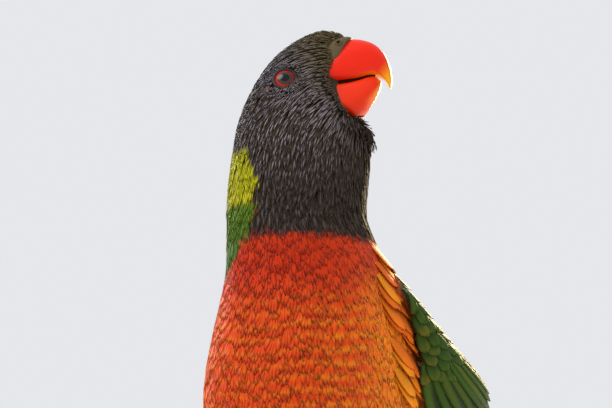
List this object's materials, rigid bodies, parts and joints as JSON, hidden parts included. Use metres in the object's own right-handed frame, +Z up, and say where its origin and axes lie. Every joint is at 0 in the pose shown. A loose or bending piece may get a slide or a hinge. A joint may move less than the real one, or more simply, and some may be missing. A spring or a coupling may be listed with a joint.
{
  "type": "rainbow lorikeet model",
  "caption": "Life-size still model of a rainbow lorikeet, standing upright with folded wings, head turned and raised, tail resting on the floor",
  "frame": {"origin": "on the floor, in the middle of the model's footprint", "axes": "+Z up; the breast faces -Y and the tail runs to +Y; the bird's left is +X, and the head is turned to that side"},
  "size_m": [0.1022, 0.2214, 0.2024],
  "materials": {
    "plumage_head": "soft overlapping feathers, dark grey-brown with lilac-grey shafts",
    "plumage_breast": "soft overlapping feathers, red-orange breast and blue-violet belly",
    "plumage_green": "smooth green feathers with a slight sheen",
    "bill_horn": "satin horn, red-orange with a yellow tip",
    "eye": "wet gloss, red iris and dark pupil",
    "foot_skin": "scaly grey skin",
    "claw_horn": "dark satin horn"
  },
  "bodies": {
    "root": {"head": "plumage_head", "neck": "plumage_head", "torso": "plumage_breast", "wing_left": "plumage_green", "wing_right": "plumage_green", "tail": "plumage_green", "thigh_left": "plumage_green", "thigh_right": "plumage_green", "beak_upper": "bill_horn", "beak_lower": "bill_horn", "eye_left": "eye", "eye_right": "eye", "foot_left": "foot_skin", "foot_right": "foot_skin", "claw_left_inner_front": "claw_horn", "claw_left_outer_front": "claw_horn", "claw_left_outer_back": "claw_horn", "claw_left_inner_back": "claw_horn", "claw_right_inner_front": "claw_horn", "claw_right_outer_front": "claw_horn", "claw_right_outer_back": "claw_horn", "claw_right_inner_back": "claw_horn"}
  },
  "joints": []
}
